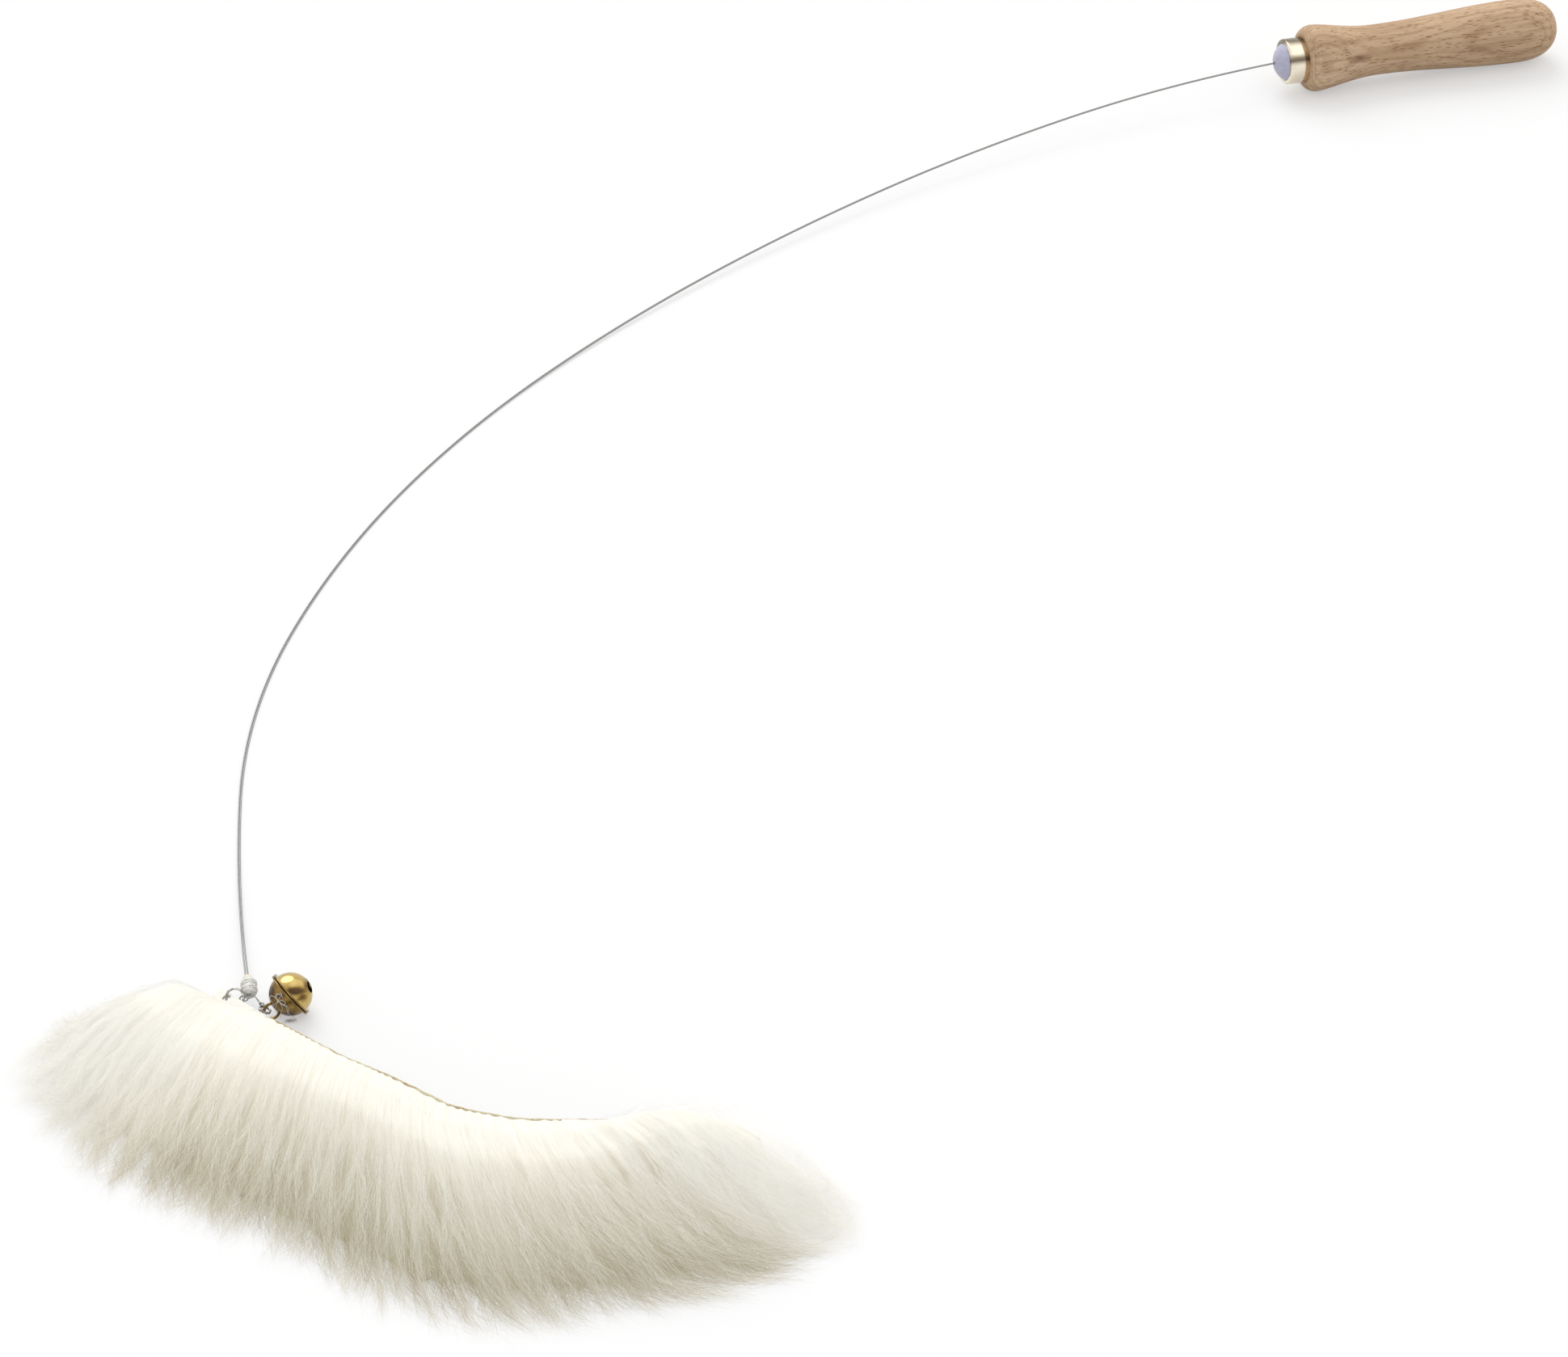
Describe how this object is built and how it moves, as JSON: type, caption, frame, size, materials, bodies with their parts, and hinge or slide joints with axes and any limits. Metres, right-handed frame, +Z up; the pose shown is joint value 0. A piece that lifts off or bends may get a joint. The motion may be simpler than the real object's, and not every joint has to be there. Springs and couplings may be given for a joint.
{
  "type": "cat teaser wand",
  "caption": "Cat teaser wand with a turned wooden grip, a long curved spring wire, a fur lure on a hide strip and a jingle bell.",
  "frame": {"origin": "on the floor, under the middle of the part's plan outline", "axes": "+Z up, +Y away from the viewer of the picture, toward the grip's side, +X to the picture's right, where the grip lies"},
  "size_m": [0.5629, 0.7734, 0.029],
  "materials": {
    "beech": "sanded, matt, unvarnished beech with short dark flecks",
    "ferrule_metal": "polished, slightly warm nickel",
    "plug_plastic": "translucent looking pale lavender plastic",
    "crimp_brass": "plain brass, hidden",
    "wire_steel": "drawn spring steel",
    "glue": "set glue, cream, slightly glossy",
    "thread": "soft white cotton thread",
    "tie": "grey twisted cord",
    "ring_steel": "nickel-plated steel",
    "hide": "tanned sheepskin, suede side out",
    "fur": "long cream fur",
    "bell_brass": "aged, lacquered brass",
    "pellet_iron": "dull iron ball"
  },
  "bodies": {
    "wand": {"handle_grip": "beech", "ferrule": "ferrule_metal", "end_plug": "plug_plastic", "wire_crimp": "crimp_brass", "spring_wire": "wire_steel", "glue_bead": "glue", "wrap_core": "thread", "wrap_thread": "thread", "tie_cord": "tie"},
    "link_ring": {"fur_ring": "ring_steel"},
    "lure": {"hide_strip": "hide", "fur_pile": "fur"},
    "small_ring": {"bell_ring": "ring_steel"},
    "bell": {"bell_upper": "bell_brass", "bell_lower": "bell_brass"},
    "pellet": {"bell_pellet": "pellet_iron"}
  },
  "joints": [
    {"name": "ring_swing", "type": "hinge", "parent": "wand", "child": "link_ring", "pos_m": [-0.21614, -0.2471, 0.003], "axis": [0, 0, 1], "range_deg": [-20, 3]},
    {"name": "lure_swing", "type": "hinge", "parent": "link_ring", "child": "lure", "pos_m": [-0.22152, -0.24778, 0.00335], "axis": [0, 0, 1], "range_deg": [-30, 4]},
    {"name": "small_ring_swing", "type": "hinge", "parent": "wand", "child": "small_ring", "pos_m": [-0.20996, -0.251, 0.00305], "axis": [0, 0, 1], "range_deg": [-15, 15]},
    {"name": "bell_swing", "type": "hinge", "parent": "small_ring", "child": "bell", "pos_m": [-0.20794, -0.25282, 0.003], "axis": [0, 0, 1], "range_deg": [-12, 12]},
    {"name": "pellet_roll", "type": "hinge", "parent": "bell", "child": "pellet", "pos_m": [-0.20097, -0.2497, 0.007], "axis": [0.866, 0.5, 0], "range_deg": [-40, 40]}
  ]
}
